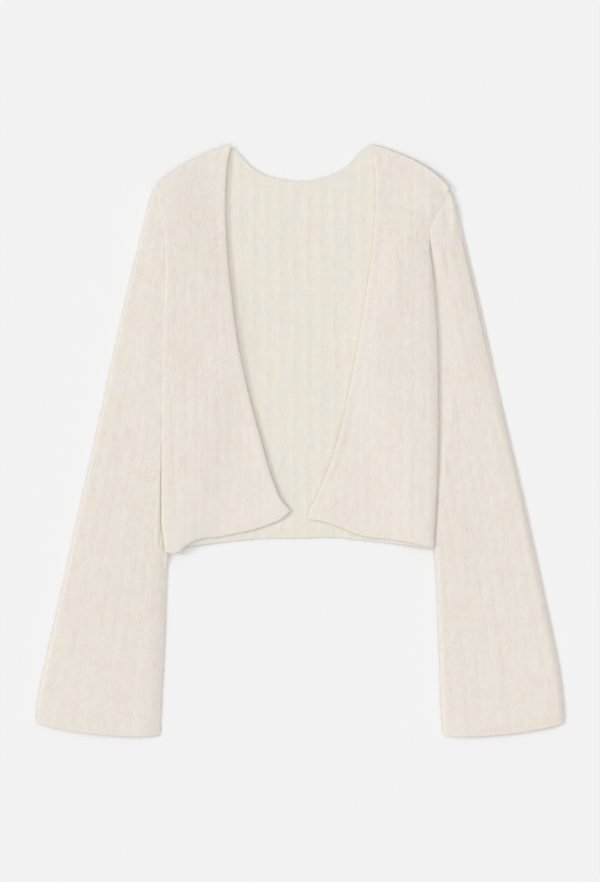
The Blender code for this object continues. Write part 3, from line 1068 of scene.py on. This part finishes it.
def brush(name, place, wanted, count, edges, seed, material):
    """Brushed hairs on the upper side of a piece and a fringe round its edges, where wanted."""
    random = np.random.default_rng(seed)
    grown = [cover(place, wanted, count, random)]
    grown += [fringe(place, wanted, edge, random) for edge in edges]
    corners = np.concatenate(grown)
    first = np.arange(len(corners))[:, None] * HAIR_CORNERS
    quads, tips = first + np.array([0, 1, 2, 3]), first + np.array([3, 2, 4])
    places = np.repeat(corners[:, 0, :2] * MM, HAIR_CORNERS, axis=0)
    return mesh_object(name, corners.reshape(-1, 3) * MM, [quads, tips], material, places)


# ---------------------------------------------------------------------------
# Materials
# ---------------------------------------------------------------------------

WOOL = (0.802, 0.750, 0.680, 1.0)
WOOL_INSIDE = (0.795, 0.757, 0.672, 1.0)
WOOL_WARM = (0.806, 0.737, 0.662, 1.0)
WOOL_COOL = (0.782, 0.748, 0.674, 1.0)
HAIR = (0.82, 0.77, 0.70, 1.0)
SHEEN_TINT = (1.0, 0.97, 0.92, 1.0)
OUTSIDE_LOOPS = 0.3
INSIDE_LOOPS = 0.25
NAP_DEPTH = 0.5
BUMP_STRENGTH = 0.17


class Tree:
    """A node tree under construction, with short calls for its nodes."""

    def __init__(self, tree):
        self.tree = tree

    def node(self, kind, inputs=(), **settings):
        made = self.tree.nodes.new("ShaderNode" + kind)
        for setting, value in settings.items():
            setattr(made, setting, value)
        self.feed(made, inputs)
        return made

    def feed(self, node, inputs):
        """Gives each named socket of a node its link or its value."""
        for socket, value in dict(inputs).items():
            self.give(node.inputs[socket], value)

    def give(self, socket, value):
        if isinstance(value, bpy.types.NodeSocket):
            self.tree.links.new(value, socket)
        else:
            socket.default_value = value

    def math(self, operation, first, second=0.0):
        return self.node("Math", {0: first, 1: second}, operation=operation).outputs[0]


def node_group(name, inputs, outputs):
    """A shader node group with named sockets, and its input and output nodes."""
    tree = bpy.data.node_groups.new(name, "ShaderNodeTree")
    for socket, kind in inputs:
        tree.interface.new_socket(socket, in_out="INPUT", socket_type="NodeSocket" + kind)
    for socket, kind in outputs:
        tree.interface.new_socket(socket, in_out="OUTPUT", socket_type="NodeSocket" + kind)
    return Tree(tree), tree.nodes.new("NodeGroupInput"), tree.nodes.new("NodeGroupOutput")


def make_stitches():
    """The loops of the knit: columns of small slanted pairs that run along each rib."""
    sockets = [("Ribs", "Float"), ("Courses", "Float"), ("Wales", "Float")]
    build, given, out = node_group("knit loops", sockets, [("Height", "Float")])
    wale = build.math("MULTIPLY", given.outputs["Ribs"], given.outputs["Wales"])
    off = build.math("ABSOLUTE", build.math("SUBTRACT", build.math("FRACT", wale), 0.5))
    slanted = build.math("ADD", given.outputs["Courses"], build.math("MULTIPLY", off, 1.1))
    wave = build.math("COSINE", build.math("MULTIPLY", slanted, 2 * math.pi))
    loop = build.math("ADD", build.math("MULTIPLY", wave, 0.35), 0.65)
    hollow = build.math("MULTIPLY", build.math("MULTIPLY", off, off), 3.6)
    column = build.math("SUBTRACT", 1.0, hollow)
    build.give(out.inputs["Height"], build.math("MULTIPLY", loop, column))
    return build.tree


def make_nap():
    """Brushed wool: fine streaks along the ribs and soft clumps between them."""
    build, given, out = node_group("brushed nap", [("Vector", "Vector")], [("Height", "Float")])
    where = given.outputs["Vector"]
    drawn = build.node("Mapping", {"Vector": where, "Scale": (1.0, 0.2, 1.0)}).outputs[0]
    fine = build.node("TexNoise", {"Vector": drawn, "Scale": 400.0, "Detail": 2.0, "Roughness": 0.5})
    wide = build.node("Mapping", {"Vector": where, "Scale": (1.0, 0.45, 1.0)}).outputs[0]
    clump = build.node("TexNoise", {"Vector": wide, "Scale": 150.0, "Detail": 2.0, "Roughness": 0.55})
    build.give(out.inputs["Height"], build.math("ADD", fine.outputs["Fac"], clump.outputs["Fac"]))
    return build.tree


def colour_mix(build, factor, first, second, blend="MIX"):
    """A colour mix node's result."""
    mixed = build.tree.nodes.new("ShaderNodeMix")
    mixed.data_type = "RGBA"
    mixed.blend_type = blend
    build.give(mixed.inputs[0], factor)
    build.give(mixed.inputs[6], first)
    build.give(mixed.inputs[7], second)
    return mixed.outputs[2]


def knit_material(name, wool, wale_count, loop_depth, groups):
    """Brushed knit in one colour of wool, with this many columns of loops to a rib."""
    stitches, nap = groups
    material = bpy.data.materials.new(name)
    material.use_nodes = True
    build = Tree(material.node_tree)
    shader = build.tree.nodes["Principled BSDF"]
    build.feed(shader, {"Roughness": 0.92, "Specular IOR Level": 0.15, "Sheen Weight": 0.6,
                        "Sheen Roughness": 0.55, "Sheen Tint": SHEEN_TINT})
    where = build.node("TexCoord").outputs["Object"]
    knit = build.node("UVMap", uv_map="knit").outputs["UV"]
    split = build.node("SeparateXYZ", {"Vector": knit})
    loops = build.node("Group", node_tree=stitches)
    build.feed(loops, {"Ribs": split.outputs["X"], "Courses": split.outputs["Y"],
                       "Wales": wale_count})
    brushed = build.node("Group", node_tree=nap)
    build.feed(brushed, {"Vector": where})
    nap_height = brushed.outputs["Height"]

    patches = build.node("TexNoise", {"Vector": where, "Scale": 34.0, "Detail": 2.0}).outputs["Fac"]
    warm = build.node("MapRange", {"Value": patches, "From Min": 0.5, "From Max": 0.72}).outputs[0]
    cool = build.node("MapRange", {"Value": patches, "From Min": 0.5, "From Max": 0.28}).outputs[0]
    colour = colour_mix(build, warm, wool, WOOL_WARM)
    colour = colour_mix(build, cool, colour, WOOL_COOL)
    # Painted shade and highlight: the wool darkens slightly where the nap's bump height is low and
    # lightens where it is high.
    nap_shading_factor = build.node("MapRange", {"Value": nap_height, "From Min": 0.7, "From Max": 1.3,
                                     "To Min": 0.975, "To Max": 1.015}).outputs[0]
    nap_shading_colour = build.node("CombineColor", {0: nap_shading_factor, 1: nap_shading_factor, 2: nap_shading_factor}).outputs[0]
    colour = colour_mix(build, 1.0, colour, nap_shading_colour, "MULTIPLY")

    shown = build.math("MULTIPLY", loops.outputs["Height"], nap_height)
    height = build.math("ADD", build.math("MULTIPLY", shown, loop_depth),
                        build.math("MULTIPLY", nap_height, NAP_DEPTH))
    bump = build.node("Bump", {"Height": height, "Strength": BUMP_STRENGTH, "Distance": MM})
    build.feed(shader, {"Base Color": colour, "Normal": bump.outputs[0]})
    return material


def hair_material():
    """The hairs' own wool, which needs no bump."""
    material = bpy.data.materials.new("brushed hairs")
    material.use_nodes = True
    build = Tree(material.node_tree)
    shader = build.tree.nodes["Principled BSDF"]
    build.feed(shader, {"Roughness": 1.0, "Specular IOR Level": 0.1})
    where = build.node("TexCoord").outputs["Object"]
    noise = build.node("TexNoise", {"Vector": where, "Scale": 90.0, "Detail": 1.0}).outputs["Fac"]
    build.give(shader.inputs["Base Color"], colour_mix(build, noise, WOOL, HAIR))
    return material


# ---------------------------------------------------------------------------
# The pieces
# ---------------------------------------------------------------------------

FRONT_HAIRS = 15000
BACK_HAIRS = 10000
SLEEVE_HAIRS = 20000
BACK_COLUMNS_WIDER = 1.1
SLEEVE_ROWS_WIDER = 1.05

# Where the hairs of the back and the sleeves would be hidden, they are left out.
SEEN_UNDER_EDGE = 2.0
SEEN_BELOW_TOP = 4.0
SEEN_UNDER_SIDE = 1.0
BACK_SHOWS_BELOW = -95.0
SLEEVE_SHOWS_BELOW = -118.0


def dress_front(side, material, hairs):
    place = front_surface(side)
    shell = Shell()
    close_panel(shell, place, spaced(FRONT_WIDTH, COLUMN_STEP), spaced(BODY_LENGTH, ROW_STEP))
    node = "front_" + side.name
    piece = shell.finish("knit_" + node, material)
    edges = [Edge(True, 0, 1.5), Edge(True, 1, 1.2), Edge(False, 0, 3.0), Edge(False, 1, 4.0)]

    def seen(x, y):
        return np.full(x.shape, True)

    fuzz = brush("nap_" + node, place, seen, FRONT_HAIRS, edges, side.seed + 70, hairs)
    declare(piece, fuzz, node)


def dress_back(material, hairs):
    place = back_surface()
    shell = Shell()
    columns = spaced(BACK_WIDTH, COLUMN_STEP * BACK_COLUMNS_WIDER)
    close_panel(shell, place, columns, spaced(BODY_LENGTH, ROW_STEP))
    piece = shell.finish("knit_back", material)

    def seen(x, y):
        by_right = x > -front_edge(RIGHT, y) - SEEN_UNDER_EDGE
        by_left = x < front_edge(LEFT, y) + SEEN_UNDER_EDGE
        above = y > back_top(x) - SEEN_BELOW_TOP
        return (by_right & by_left) | (y < BACK_SHOWS_BELOW) | above

    edges = [Edge(False, 0, 4.0), Edge(False, 1, 4.0)]
    fuzz = brush("nap_back", place, seen, BACK_HAIRS, edges, 71, hairs)
    declare(piece, fuzz, "back")


def dress_sleeve(side, material, hairs):
    place = sleeve_surface(side)
    shell = Shell()
    rows = spaced(SLEEVE_LENGTH, ROW_STEP * SLEEVE_ROWS_WIDER)
    sew_sleeve(shell, place, spaced(SLEEVE_WIDTH, COLUMN_STEP), rows)
    node = "sleeve_" + side.name
    piece = shell.finish("knit_" + node, material)

    def seen(x, y):
        beside = np.abs(x) > side_edge(side, y) - SEEN_UNDER_SIDE
        return beside | (y < SLEEVE_SHOWS_BELOW)

    edges = [Edge(True, 0, 4.5), Edge(True, 1, 4.5), Edge(False, 1, 5.0)]
    fuzz = brush("nap_" + node, place, seen, SLEEVE_HAIRS, edges, side.seed + 72, hairs)
    declare(piece, fuzz, node)


def declare(piece, fuzz, node):
    """Hangs the cloth of a piece and its hairs on the root body, and hides the solid they stand for.
    """
    for made in (piece, fuzz):
        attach(made, "root")
    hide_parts(node)


def main():
    set_camera()
    set_light()
    lay_floor()
    groups = make_stitches(), make_nap()
    outside = knit_material("rib knit outside", WOOL, OUTSIDE_WALES, OUTSIDE_LOOPS, groups)
    inside = knit_material("rib knit inside", WOOL_INSIDE, INSIDE_WALES, INSIDE_LOOPS, groups)
    hairs = hair_material()
    dress_back(inside, hairs)
    for side in (RIGHT, LEFT):
        dress_front(side, outside, hairs)
        dress_sleeve(side, outside, hairs)


main()
